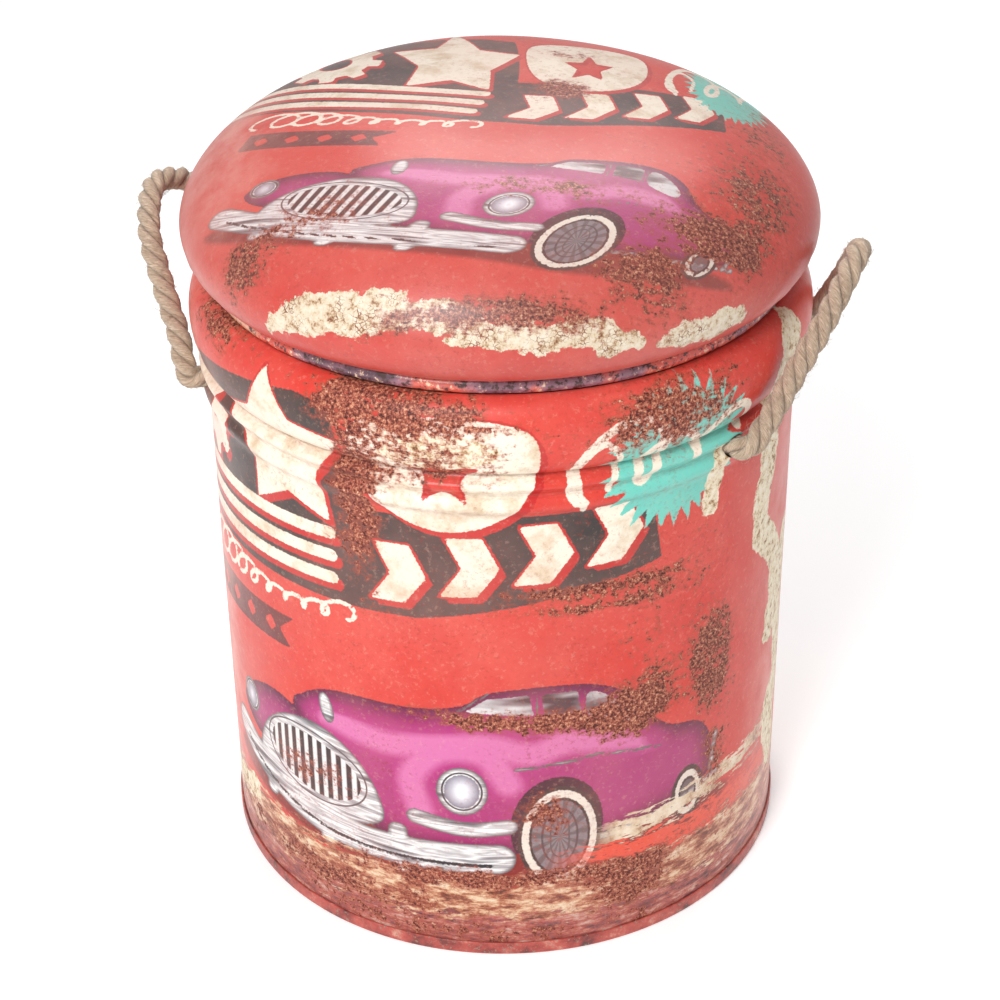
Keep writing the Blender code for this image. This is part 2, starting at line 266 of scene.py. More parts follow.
def car_layers(p):
    """A generic rounded saloon of no make, seen from its front corner."""
    layers = {}
    body = blob(p, [
        (-0.62, 0.84), (-0.58, 0.93), (-0.42, 1.01), (-0.12, 1.03), (0.03, 1.06),
        (0.12, 1.115), (0.32, 1.135), (0.48, 1.115), (0.60, 1.04), (0.68, 0.93),
        (0.76, 0.86), (0.88, 0.82), (0.94, 0.74), (0.955, 0.64), (0.93, 0.56),
        (0.72, 0.51), (0.42, 0.46), (0.10, 0.44), (-0.22, 0.46), (-0.40, 0.56)])
    fender = blob(p, [(-0.98, 0.68), (-0.93, 0.78), (-0.80, 0.85), (-0.66, 0.86),
                      (-0.56, 0.80), (-0.66, 0.66), (-0.84, 0.60)])
    layers["paint"] = joined(body, fender)
    layers["fold"] = joined(
        bend(p, [(-0.52, 0.90), (-0.25, 0.86), (-0.10, 0.88), (0.10, 0.90), (0.26, 0.86),
                 (0.40, 0.90), (0.70, 0.84)], 0.0),
        bend(p, [(-0.12, 0.60), (-0.15, 0.74), (-0.05, 0.86), (0.10, 0.86), (0.18, 0.74)],
             0.0))
    layers["glass"] = joined(
        outline(p, [(0.04, 1.035), (0.11, 1.09), (0.25, 1.105), (0.265, 1.02)]),
        outline(p, [(0.30, 1.02), (0.29, 1.105), (0.41, 1.105), (0.425, 1.0)]),
        blob(p, [(0.455, 0.99), (0.445, 1.09), (0.52, 1.06), (0.60, 0.97), (0.58, 0.93)]))
    lamp, far_lamp = (0.024, 0.705), (-0.915, 0.735)
    surround = blob(p, [(-0.86, 0.56), (-0.80, 0.70), (-0.67, 0.80), (-0.50, 0.83),
                        (-0.36, 0.76), (-0.27, 0.62), (-0.28, 0.50), (-0.55, 0.45),
                        (-0.80, 0.47)])
    bumper = bend(p, [(-1.02, 0.55), (-0.80, 0.48), (-0.45, 0.415), (0.14, 0.42)], 0.130)
    guards = [slab(p, centre, (0.036, 0.110), 4, 0.03)
              for centre in ((-0.80, 0.485), (-0.50, 0.435), (-0.20, 0.42))]
    trims = [stroke(p, along, width) for along, width in (
        (rounded([(-0.14, 0.575), (0.03, 0.545), (0.18, 0.56)], False), 0.065),
        ([(0.20, 0.80), (0.48, 0.83), (0.72, 0.79)], 0.014),
        ([(0.50, 0.475), (0.75, 0.50), (1.00, 0.55)], 0.032),
        ([(0.955, 0.58), (0.975, 0.72)], 0.028), ([(0.01, 1.03), (0.12, 1.115)], 0.010),
        ([(0.43, 1.0), (0.43, 1.11)], 0.010), ([(0.28, 1.01), (0.27, 1.11)], 0.010))]
    layers["chrome"] = joined(surround, bumper, *guards, *trims, oval(p, lamp, (0.088, 0.100)),
                              oval(p, far_lamp, (0.058, 0.068)),
                              oval(p, (-0.47, 0.92), (0.030, 0.062), 12))
    layers["grille"] = oval(p, (-0.555, 0.645), (0.215, 0.118), -4)
    layers["dark_line"] = bend(p, [(-0.98, 0.52), (-0.80, 0.455), (-0.45, 0.39), (0.12, 0.39)],
                               0.016)
    layers["lens"] = joined(oval(p, lamp, (0.060, 0.070)), oval(p, far_lamp, (0.040, 0.048)))
    front, rear = (0.353, 0.505), (0.845, 0.53)
    layers["arch"] = np.maximum(oval(p, (0.345, 0.545), (0.160, 0.215)), 0.45 - p[:, 1])
    layers["tyre"] = joined(oval(p, front, (0.143, 0.216)), oval(p, rear, (0.074, 0.115)))
    layers["whitewall"] = joined(
        np.maximum(oval(p, front, (0.130, 0.198)), -oval(p, front, (0.106, 0.166))),
        np.maximum(oval(p, rear, (0.058, 0.094)), -oval(p, rear, (0.040, 0.066))))
    layers["hub"] = joined(oval(p, front, (0.097, 0.154)), oval(p, rear, (0.032, 0.054)))
    layers["ground"] = blob(p, [(-1.05, 0.42), (-0.60, 0.33), (0.10, 0.30), (0.45, 0.29),
                                (1.02, 0.42), (0.80, 0.50), (-0.80, 0.50)])
    return layers


DROP = 0.022      # how far the blocks' and bars' red shadow is dropped


def artwork(u, v):
    """Distance to each printed layer in millimetres, for points on the printed sheet."""
    p = np.stack([u, v], axis=1)
    layers = {**sign_layers(p), **flourish_layers(p), **car_layers(p)}
    dropped = sign_layers(p + np.array([-DROP, DROP]))
    layers["block_shadow"] = joined(dropped["block"], layers["block"] - 0.008)
    layers["bar_shadow"] = dropped["bar"]
    scale = WALL_R / MM
    return {name: np.clip(d * scale, -FAR, FAR) for name, d in layers.items()}


LAYER_NAMES = ["panel", "block_shadow", "block", "bar_shadow", "bar", "loop", "ribbon",
               "burst", "ground", "paint", "fold", "glass", "chrome", "grille", "dark_line",
               "lens", "arch", "tyre", "whitewall", "hub"]


def soft_spot(u, v, centre, radii, turn=0):
    """A weight that is 1 at the centre of an oval and falls to 0 well outside it."""
    p = np.stack([u, v], axis=1)
    q = turned_about(p, centre, turn) / np.array(radii)
    return np.exp(-(q ** 2).sum(axis=1))


def rust_of(u, v, spots):
    """Rust weight: a little all over, and more at each spot.

    A spot is its centre, its two radii, its weight and, if it is turned, its turn.
    """
    rust = 0.22 + 0.0 * u
    for at_u, at_v, radius_u, radius_v, weight, *turn in spots:
        rust = rust + weight * soft_spot(u, v, (at_u, at_v), (radius_u, radius_v), *turn)
    return np.clip(rust, 0, 1)


def add_vector(mesh, name, x, y, z):
    attribute = mesh.attributes.new(name, "FLOAT_VECTOR", "POINT")
    data = np.stack([x, y, z], axis=1).astype(np.float32)
    attribute.data.foreach_set("vector", data.ravel())


def print_on(mesh, u, v, rust, flaked, pale, printed):
    """Store the artwork, the wear and the painted reflection on a mesh's points.

    rust and pale are weights, pale marking a painted reflection, and flaked is a distance
    in millimetres to where the print is gone.  printed marks the points that carry the artwork.
    """
    layers = artwork(u, v)
    blank = ~printed
    for start in range(0, len(LAYER_NAMES), 3):
        three = []
        for name in LAYER_NAMES[start:start + 3]:
            values = layers[name].copy()
            values[blank] = FAR
            three.append(values)
        while len(three) < 3:
            three.append(np.full(len(u), FAR))
        add_vector(mesh, "ink_%d" % (start // 3), *three)
    add_vector(mesh, "sheet", u, v, np.zeros(len(u)))
    # The third number is the pale weight, where a pale painted reflection is laid.
    add_vector(mesh, "rust_flake_sheen", rust, flaked, pale)


# Mesh building ------------------------
def offset(points, distance):
    moved = []
    last = len(points) - 1
    for i, (r, z) in enumerate(points):
        before, after = points[max(i - 1, 0)], points[min(i + 1, last)]
        dr, dz = after[0] - before[0], after[1] - before[1]
        length = sqrt(dr * dr + dz * dz)
        moved.append((r - dz / length * distance, z + dr / length * distance))
    return moved


def arc(centre, radius, start, end, steps):
    angles = [radians(start + (end - start) * i / steps) for i in range(steps + 1)]
    return [(centre[0] + radius * cos(a), centre[1] + radius * sin(a)) for a in angles]


def line(low, high, step):
    """Points from low to high, without low, about a step apart."""
    count = max(1, round(sqrt((high[0] - low[0]) ** 2 + (high[1] - low[1]) ** 2) / step))
    return [(low[0] + (high[0] - low[0]) * i / count, low[1] + (high[1] - low[1]) * i / count)
            for i in range(1, count + 1)]


def eased(low, high, steps):
    points = []
    for i in range(1, steps + 1):
        along = i / steps
        lift = (1 - cos(pi * along)) / 2
        points.append((low[0] + (high[0] - low[0]) * lift,
                       low[1] + (high[1] - low[1]) * along))
    return points


def quads_between(rows):
    """Faces that join each closed ring of point numbers to the next."""
    a, b = rows[:-1].ravel(), np.roll(rows[:-1], -1, axis=1).ravel()
    c, d = np.roll(rows[1:], -1, axis=1).ravel(), rows[1:].ravel()
    return np.stack([a, b, c, d], axis=1).tolist()


def new_mesh(name, points, faces):
    mesh = bpy.data.meshes.new(name)
    mesh.from_pydata(points, [], faces)
    mesh.update()
    return mesh


def run_along(points):
    """Distance travelled at each point of a line."""
    steps = np.linalg.norm(np.diff(points, axis=0), axis=1)
    return np.concatenate([[0], np.cumsum(steps)])


def revolve(name, section, columns, closed=True, move=None):
    """A mesh turned about Z.  A section that isn't closed starts and ends on the axis.

    move(points, radius, azimuth) may shift the points before the mesh is made.
    """
    section = np.array(section)
    on_axis = [] if closed else [0, len(section) - 1]
    ring_rows = [i for i in range(len(section)) if i not in on_axis]
    azimuth = np.arange(columns) * 2 * pi / columns
    radius = np.repeat(section[ring_rows, 0], columns)
    height = np.repeat(section[ring_rows, 1], columns)
    angle = np.tile(azimuth, len(ring_rows))
    points = np.stack([radius * np.cos(angle), radius * np.sin(angle), height], axis=1)
    if move is not None:
        points = move(points, radius, angle)
    index = np.arange(len(ring_rows) * columns).reshape(len(ring_rows), columns)
    rows = np.vstack([index, index[:1]]) if closed else index
    faces = quads_between(rows)
    if not closed:
        bottom, top = len(points), len(points) + 1
        points = np.vstack([points, [[0, 0, section[0, 1]], [0, 0, section[-1, 1]]]])
        for j in range(columns):
            k = (j + 1) % columns
            faces.append((bottom, index[0, k], index[0, j]))
            faces.append((top, index[-1, j], index[-1, k]))
    return new_mesh(name, points, faces)


def face_outward(mesh):
    bm = bmesh.new()
    bm.from_mesh(mesh)
    bmesh.ops.recalc_face_normals(bm, faces=bm.faces)
    bm.to_mesh(mesh)
    bm.free()


def add_piece(name, mesh, *materials):
    for used in materials:
        mesh.materials.append(used)
    piece = bpy.data.objects.new(name, mesh)
    bpy.context.scene.collection.objects.link(piece)
    return piece


def points_of(mesh):
    flat = np.zeros(len(mesh.vertices) * 3)
    mesh.vertices.foreach_get("co", flat)
    return flat.reshape(-1, 3)


# Node materials ------------------------
def tone(red, green, blue):
    """A display colour, 0 to 255, as the linear colour a shader takes."""
    linear = [((c / 255 + 0.055) / 1.055) ** 2.4 if c > 10 else c / 255 / 12.92
              for c in (red, green, blue)]
    return (*linear, 1.0)


class Shader:
    """A Principled material and short ways to add nodes to it."""

    def __init__(self, name, **constants):
        self.material = bpy.data.materials.new(name)
        self.material.use_nodes = True
        self.tree = self.material.node_tree
        self.bsdf = self.tree.nodes["Principled BSDF"]
        for socket, value in constants.items():
            self.bsdf.inputs[socket.replace("_", " ")].default_value = value
        self.where = self.node("ShaderNodeTexCoord").outputs["Object"]
        self.top = None

    def node(self, kind, inputs=(), **settings):
        made = self.tree.nodes.new(kind)
        for key, value in settings.items():
            setattr(made, key, value)
        for key, value in dict(inputs).items():
            self.plug(made.inputs[key], value)
        return made

    def plug(self, socket, value):
        if isinstance(value, bpy.types.NodeSocket):
            self.tree.links.new(value, socket)
        else:
            socket.default_value = value

    def math(self, operation, a, b=0.0, clamp=False):
        made = self.node("ShaderNodeMath", {0: a, 1: b}, operation=operation)
        made.use_clamp = clamp
        return made.outputs[0]

    def mix(self, share, a, b, blend="MIX"):
        made = self.node("ShaderNodeMix", {0: share, 6: a, 7: b}, data_type="RGBA",
                         blend_type=blend)
        return made.outputs[2]

    def lay(self, share, colour):
        """Lay a colour over the colour so far."""
        self.top = self.mix(share, self.top, colour)

    def blended(self, share, a, b):
        """A number between a and b."""
        return self.node("ShaderNodeMix", {0: share, 2: a, 3: b}, data_type="FLOAT").outputs[0]

    def between(self, value, low, high, to_low=0.0, to_high=1.0):
        made = self.node("ShaderNodeMapRange", {"Value": value, "From Min": low,
                                                "From Max": high, "To Min": to_low,
                                                "To Max": to_high})
        return made.outputs[0]

    def ramp(self, value, stops):
        """Each stop is (position, red, green, blue) or (position, linear colour)."""
        made = self.node("ShaderNodeValToRGB", {0: value})
        elements = made.color_ramp.elements
        while len(elements) < len(stops):
            elements.new(0.5)
        for element, (position, *colour) in zip(elements, stops):
            element.position = position
            element.color = tone(*colour) if len(colour) == 3 else colour[0]
        return made.outputs[0]

    def stretched(self, scale, source=None):
        made = self.node("ShaderNodeMapping", {"Vector": source or self.where,
                                               "Scale": scale})
        return made.outputs[0]

    def noise(self, scale, detail=3.0, rough=0.55, source=None, twist=0.0):
        made = self.node("ShaderNodeTexNoise", {
            "Vector": source or self.where, "Scale": scale, "Detail": detail,
            "Roughness": rough, "Distortion": twist})
        return made.outputs["Fac"]

    def cells(self, scale, feature="F1", source=None):
        made = self.node("ShaderNodeTexVoronoi", {"Vector": source or self.where,
                                                  "Scale": scale}, feature=feature)
        return made.outputs["Distance"]

    def bent(self, scale, amount):
        """Object coordinates pushed about by a noise, so cells lose their straight sides."""
        push = self.node("ShaderNodeTexNoise", {"Vector": self.where, "Scale": scale})
        moved = self.node("ShaderNodeVectorMath", {0: push.outputs["Color"],
                                                   1: (amount, amount, amount), 2: self.where},
                          operation="MULTIPLY_ADD")
        return moved.outputs[0]

    def attribute(self, name):
        made = self.node("ShaderNodeAttribute", attribute_name=name)
        split = self.node("ShaderNodeSeparateXYZ", {0: made.outputs["Vector"]})
        return made.outputs["Vector"], split.outputs

    def finished(self, colour, roughness, *heights):
        """Wire up the material.  Each height is (socket, depth in metres, strength)."""
        self.plug(self.bsdf.inputs["Base Color"], colour)
        self.plug(self.bsdf.inputs["Roughness"], roughness)
        normal = None
        for height, depth, strength in heights:
            inputs = {"Height": height, "Distance": depth, "Strength": strength}
            if normal is not None:
                inputs["Normal"] = normal
            normal = self.node("ShaderNodeBump", inputs).outputs[0]
        if normal is not None:
            self.plug(self.bsdf.inputs["Normal"], normal)
        return self.material


RED = tone(214, 68, 57)
RED_DEEP = tone(194, 52, 45)
CREAM = tone(238, 226, 208)
CREAM_DIRTY = tone(205, 184, 154)
DARK = tone(48, 43, 42)
TEAL = tone(92, 196, 182)
MAGENTA = tone(156, 38, 102)
MAGENTA_LIGHT = tone(206, 110, 162)
MAGENTA_DARK = tone(84, 18, 54)


def printed_inks(s):
    """Colour of the artwork, before wear, from the stored distances."""
    wobble = s.between(s.noise(700, 3, 0.6), 0.3, 0.7, -0.35, 0.35)
    distance = {}
    for start in range(0, len(LAYER_NAMES), 3):
        _, parts = s.attribute("ink_%d" % (start // 3))
        for name, part in zip(LAYER_NAMES[start:start + 3], parts):
            distance[name] = part
    sheet, axes = s.attribute("sheet")
    u, v = axes[0], axes[1]

    def ink(name, colour, edge=0.22):
        """Print a layer, with an edge of the given softness in millimetres."""
        s.lay(s.between(s.math("ADD", distance[name], wobble), edge, -edge), colour)

    def ring(name, at, half, colour):
        """Print a thin line that runs at a set distance from a layer's edge."""
        off = s.math("ABSOLUTE", s.math("SUBTRACT", distance[name], at))
        s.lay(s.between(off, half + 0.15, half - 0.15), colour)

    s.top = s.mix(s.noise(14, 3, 0.6), RED_DEEP, RED)
    s.lay(s.between(s.noise(45, 4, 0.7), 0.45, 0.75, 0, 0.35), tone(224, 88, 70))
    ink("panel", s.mix(s.noise(60, 4), DARK, tone(74, 66, 63)))
    dirty = s.between(s.noise(55, 5, 0.7), 0.48, 0.68)
    for face in ("block", "bar"):
        ink(face + "_shadow", tone(186, 40, 38))
        ink(face, s.mix(dirty, CREAM, CREAM_DIRTY))
    ink("ribbon", tone(104, 44, 44))
    ink("burst", s.mix(s.noise(40, 3), TEAL, tone(120, 206, 190)))
    ink("loop", CREAM)

    ink("ground", tone(126, 28, 24), 2.5)
    depth = s.between(distance["paint"], 0, -16)
    along = s.between(distance["fold"], 0, 14)
    ink("paint", s.ramp(s.math("MULTIPLY", depth, s.between(along, 0, 1, 1.15, 0.55)),
                        [(0.0, MAGENTA_DARK), (0.35, MAGENTA), (0.75, 174, 54, 120),
                         (0.97, MAGENTA_LIGHT)]))
    ink("glass", s.ramp(s.noise(3, 2, 0.5, s.stretched((1.5, 5, 1), sheet)),
                        [(0.38, 58, 48, 56), (0.5, 134, 122, 124), (0.62, 206, 204, 204)]))
    ink("arch", tone(54, 20, 40))
    streaks = s.noise(2.2, 3, 0.5, s.stretched((1.4, 13, 1), sheet), 0.3)
    shine = s.ramp(streaks, [(0.32, 92, 88, 92), (0.43, 172, 168, 170),
                             (0.50, 236, 234, 232), (0.58, 176, 172, 174),
                             (0.66, 240, 238, 236)])
    shine = s.mix(s.between(distance["chrome"], -0.2, -2.4), tone(96, 90, 92), shine)
    ink("chrome", shine)
    bars = s.between(s.math("SINE", s.math("MULTIPLY", u, 150.0)), -0.3, 0.5)
    ink("grille", s.mix(bars, tone(34, 30, 34), tone(226, 224, 222)))
    ink("dark_line", tone(52, 48, 52))
    ink("lens", s.ramp(s.between(distance["lens"], 0, -10),
                       [(0.0, 128, 122, 134), (0.35, 186, 182, 192),
                        (0.75, 240, 238, 242), (1.0, 206, 202, 212)]))
    ring("lens", 1.2, 0.5, tone(74, 68, 74))
    ring("grille", 3.4, 0.5, tone(84, 78, 82))
    ink("tyre", tone(48, 42, 42))
    ink("whitewall", s.mix(s.noise(90, 3), tone(214, 206, 198), CREAM))
    spoke = s.math("ARCTAN2", s.math("MULTIPLY", s.math("SUBTRACT", v, 0.505), 0.62),
                   s.math("SUBTRACT", u, 0.353))
    spoke = s.between(s.math("SINE", s.math("MULTIPLY", spoke, 15.0)), -0.3, 0.5)
    ink("hub", s.mix(spoke, tone(126, 120, 124), shine))
    ring("hub", -5.5, 0.6, tone(74, 68, 72))
    ring("hub", -10.0, 0.5, tone(84, 78, 80))
    return sheet, u, v


def wear_and_sheen_on_print(s, sheet, sheen_haze, cracked):
    """Lay the printed wear and painted sheen over the artwork and give where rust and plaster
    show.

    haze is the share of broad pale pink patches laid as painted sheen, and cracked says that
    the plaster is crazed into small cells.
    """
    rust_weight, flaked, pale = s.attribute("rust_flake_sheen")[1]
    fine = s.noise(300, 7, 0.70)
    broad = s.noise(46, 5, 0.64)
    # Painted sheen: broad pale pink patches, laid at random, standing in for the satin print's
    # hazy reflection.
    s.lay(s.between(s.noise(9, 5, 0.66), 0.40, 0.68, 0, sheen_haze), tone(214, 146, 134))
    s.lay(s.between(s.noise(340, 6, 0.72), 0.55, 0.66, 0, 0.18), tone(224, 176, 156))
    scuffs = s.math("MULTIPLY", s.between(s.noise(420, 6, 0.74), 0.54, 0.62),
                    s.between(s.noise(20, 4, 0.6), 0.42, 0.60, 0.08, 0.42))
    s.lay(scuffs, tone(146, 52, 42))
    # Painted reflection: pale pink laid where the pale weight is high, along the edges of the
    # drum and the seat.
    s.lay(s.math("MULTIPLY", pale, s.between(broad, 0.3, 0.6), True), tone(232, 176, 164))

    swing = 5.5 if cracked else 3.6
    ragged = s.math("ADD", s.between(s.noise(62, 6, 0.62), 0.25, 0.75, -swing, swing),
                    s.between(fine, 0.3, 0.7, -0.4, 0.4))
    bare = s.between(s.math("ADD", flaked, ragged), 0.3, -0.3)
    plaster = s.ramp(s.noise(230, 5, 0.76), [(0.33, 112, 68, 44), (0.40, 184, 150, 112),
                                             (0.47, 224, 206, 176), (0.60, 238, 228, 206)])
    if cracked:
        gaps = s.cells(430, "DISTANCE_TO_EDGE", s.bent(240, 0.0030))
        gaps = s.math("ADD", gaps, s.between(s.noise(90, 4, 0.7), 0.35, 0.62, 0.0, 0.14))
        plaster = s.mix(s.between(gaps, 0.04, 0.11), tone(128, 76, 48), plaster)
    s.lay(bare, plaster)

    mottled = s.math("ADD", s.math("MULTIPLY", fine, 0.46), s.math("MULTIPLY", broad, 0.30))
    streaky = s.noise(9, 6, 0.7, s.stretched((1, 5, 1), sheet))
    mottled = s.math("ADD", mottled, s.math("MULTIPLY", streaky, 0.24))
    over = s.math("SUBTRACT", mottled, s.between(rust_weight, 0, 1, 0.70, 0.44))
    rust = s.between(over, 0.0, 0.02)
    rust_colour = s.ramp(s.noise(640, 5, 0.76), [
        (0.36, 46, 24, 22), (0.45, 102, 48, 40), (0.53, 156, 82, 64),
        (0.61, 194, 134, 104), (0.69, 224, 190, 160)])
    s.lay(s.between(over, -0.055, 0.0, 0, 0.6), tone(160, 74, 56))
    s.lay(rust, rust_colour)
    return rust, bare


def printed_tin():
    """Satin litho print on the drum, with its rust-stained lower bands."""
    s = Shader("printed_tin", Coat_Weight=0.05, Coat_Roughness=0.20, Specular_IOR_Level=0.24)
    sheet, u, v = printed_inks(s)
    drift = s.between(s.noise(3, 5, 0.68, s.stretched((4, 16, 1), sheet)),
                      0.3, 0.7, -0.06, 0.06)
    level = s.math("ADD", v, drift)
    orange = s.math("MULTIPLY", s.between(level, 0.345, 0.355), s.between(level, 0.43, 0.42))
    s.lay(s.math("MULTIPLY", orange, s.between(u, 0.3, 0.5)), tone(226, 78, 54))
    road = s.math("SUBTRACT", level, s.math("MULTIPLY", s.math("SUBTRACT", u, 0.5), 0.08))
    road = s.math("MULTIPLY", s.between(road, 0.43, 0.44), s.between(road, 0.51, 0.50))
    dust = s.ramp(s.noise(60, 6, 0.72), [(0.38, 150, 104, 78), (0.48, 212, 190, 158),
                                         (0.62, 232, 220, 198)])
    s.lay(s.math("MULTIPLY", road, s.between(u, 0.46, 0.56)), dust)
    earth = s.ramp(s.noise(9, 8, 0.74, s.stretched((1, 2.6, 1), sheet)), [
        (0.36, 70, 36, 30), (0.44, 134, 72, 50), (0.50, 190, 130, 98),
        (0.56, 216, 186, 152), (0.66, 232, 216, 190)])
    s.lay(s.between(level, 0.34, 0.325), earth)
    band = s.ramp(s.noise(8, 8, 0.74, s.stretched((1, 4, 1), sheet)), [
        (0.37, 62, 38, 42), (0.45, 132, 76, 78), (0.51, 176, 88, 76),
        (0.58, 186, 138, 124), (0.68, 214, 190, 178)])
    s.lay(s.between(level, 0.165, 0.15), band)
    # Painted shade: darker brown bands along the valley, the neck and the step under the low
    # ridge, broken up by noise, where these recesses lie in shade.
    groove_shade_noise = s.noise(16, 5, 0.7, s.stretched((1.5, 9, 1), sheet))
    for groove, half in ((1.868, 0.016), (1.935, 0.020), (1.806, 0.014)):
        near = s.between(s.math("ABSOLUTE", s.math("SUBTRACT", v, groove)), half, 0.0)
        near = s.math("MULTIPLY", near, s.between(groove_shade_noise, 0.40, 0.62, 0.0, 0.40))
        s.lay(near, tone(96, 44, 36))
    rust, bare = wear_and_sheen_on_print(s, sheet, 0.18, False)
    smudge = s.between(s.noise(26, 4, 0.6), 0.3, 0.7, 0.30, 0.46)
    dull = s.blended(s.math("MAXIMUM", rust, s.math("MULTIPLY", bare, 0.6)), smudge, 0.62)
    return s.finished(s.top, dull, (s.noise(900, 2), 0.00006, 0.35), (rust, 0.00012, 0.4),
                      (bare, -0.00010, 0.35))


def printed_leatherette():
    """Glossy printed synthetic leather with a fine grain."""
    s = Shader("printed_leatherette", Coat_Weight=0.14, Coat_Roughness=0.24,
               Specular_IOR_Level=0.35)
    sheet, _, _ = printed_inks(s)
    wear_and_sheen_on_print(s, sheet, 0.28, True)
    s.lay(0.24, tone(104, 66, 64))
    dull = s.between(s.noise(30, 4, 0.6), 0.3, 0.7, 0.36, 0.48)
    return s.finished(s.top, dull, (s.cells(1300, "SMOOTH_F1"), 0.00014, 0.40),
                      (s.noise(55, 3), 0.0006, 0.12))


def printed_hoop():
    s = Shader("printed_hoop", Coat_Weight=0.35, Coat_Roughness=0.2)
    s.top = s.ramp(s.noise(11, 4, 0.65), [(0.38, 84, 58, 72), (0.46, 150, 104, 118),
                                          (0.50, 204, 96, 80), (0.58, 206, 74, 62),
                                          (0.66, 220, 160, 128)])
    specks = s.noise(260, 6, 0.72)
    s.lay(s.between(specks, 0.53, 0.58), tone(66, 36, 34))
    s.lay(s.between(specks, 0.42, 0.38), tone(226, 192, 160))
    return s.finished(s.top, s.between(specks, 0.35, 0.65, 0.28, 0.5), (specks, 0.0001, 0.3))


def foot_tin():
    """The folded seam round the foot: red print scuffed through to stained steel."""
    s = Shader("foot_tin", Coat_Weight=0.15, Coat_Roughness=0.3)
    s.top = s.ramp(s.noise(60, 5, 0.7), [(0.34, 84, 44, 40), (0.46, 160, 62, 54),
                                         (0.58, 186, 84, 72), (0.70, 206, 160, 140)])
    scuffs = s.noise(420, 4, 0.7)
    s.lay(s.between(scuffs, 0.58, 0.62), tone(150, 120, 104))
    return s.finished(s.top, s.between(scuffs, 0.35, 0.65, 0.34, 0.55), (scuffs, 0.0001, 0.35))


def plain_tin():
    """Bare tinplate inside the drum, with its crystal spangle and stains."""
    s = Shader("plain_tin", Metallic=0.85)
    spangle = s.cells(90, "F1", s.bent(60, 0.006))
    s.top = s.ramp(spangle, [(0.1, 168, 168, 166), (0.5, 186, 186, 182),
                             (0.9, 204, 203, 198)])
    s.lay(s.between(s.noise(12, 5, 0.65), 0.55, 0.75, 0, 0.6), tone(150, 128, 104))
    return s.finished(s.top, s.between(spangle, 0, 1, 0.30, 0.48),
                      (s.noise(500, 3), 0.00008, 0.3))


def jute():
    """Matt natural fibre: pale and dark yarns with fine lengthwise hairs, and painted shade
    where the strands meet.
    """
    s = Shader("jute_rope", Sheen_Weight=0.25, Sheen_Roughness=0.5)
    _, lay = s.attribute("lay")
    yarn = s.node("ShaderNodeCombineXYZ", {0: lay[0], 1: lay[1], 2: lay[2]}).outputs[0]
    hairs = s.noise(1.0, 5, 0.74, s.stretched((70, 16, 1), yarn), 0.4)
    patch = s.noise(1.0, 3, 0.6, s.stretched((14, 6, 1), yarn))
    s.top = s.ramp(hairs, [(0.32, 94, 72, 56), (0.43, 168, 140, 116),
                           (0.53, 208, 182, 156), (0.66, 240, 224, 202)])
    s.lay(s.between(patch, 0.42, 0.62, 0, 0.35), tone(136, 108, 84))
    # Painted shade: darker brown on the inner side of each strand, in the crevices between
    # strands.
    colour = s.mix(s.between(lay[2], 0.0, 0.75), tone(92, 70, 52), s.top)
    return s.finished(colour, s.between(hairs, 0.3, 0.7, 0.78, 0.95), (hairs, 0.0007, 0.9))


def board_wood(name, pale, dark, scale):
    s = Shader(name)
    rings = s.noise(18, 5, 0.6, s.stretched((1, scale, 1)), 0.6)
    return s.finished(s.ramp(rings, [(0.35, dark), (0.6, pale)]),
                      s.between(rings, 0.3, 0.7, 0.62, 0.8), (rings, 0.0002, 0.3))


def liner_cloth():
    """Black non-woven cloth with its pressed dots."""
    s = Shader("liner_cloth", Sheen_Weight=0.3)
    dots = s.cells(520, "F1")
    fuzz = s.noise(800, 4, 0.7)
    return s.finished(s.mix(s.between(dots, 0.1, 0.5), tone(46, 45, 47), tone(24, 24, 26)),
                      s.between(fuzz, 0.3, 0.7, 0.85, 0.97),
                      (dots, 0.0002, 0.5), (fuzz, 0.0001, 0.4))


def zinc_steel(name, colour, rough):
    s = Shader(name, Metallic=1.0)
    brush = s.noise(900, 3, 0.6, s.stretched((1, 1, 0.1)))
    return s.finished(s.mix(s.between(brush, 0.3, 0.7), colour, tone(214, 206, 180)),
                      s.between(brush, 0.3, 0.7, rough - 0.08, rough + 0.12),
                      (brush, 0.00005, 0.3))


def foam_stuff():
    s = Shader("seat_foam")
    holes = s.cells(900, "F1")
    return s.finished(
        s.mix(s.between(holes, 0.1, 0.5), tone(196, 180, 120), tone(232, 222, 176)),
        s.between(holes, 0, 1, 0.9, 1.0), (holes, 0.0005, 0.6))


# Drum ------------------------
def sheet_of_azimuth(x, y, z):
    """Artwork coordinates on the wall; the print goes round twice."""
    turn = np.arctan2(y, x) + radians(100)
    u = np.mod(turn + pi / 2, pi) - pi / 2
    return u, z / WALL_R


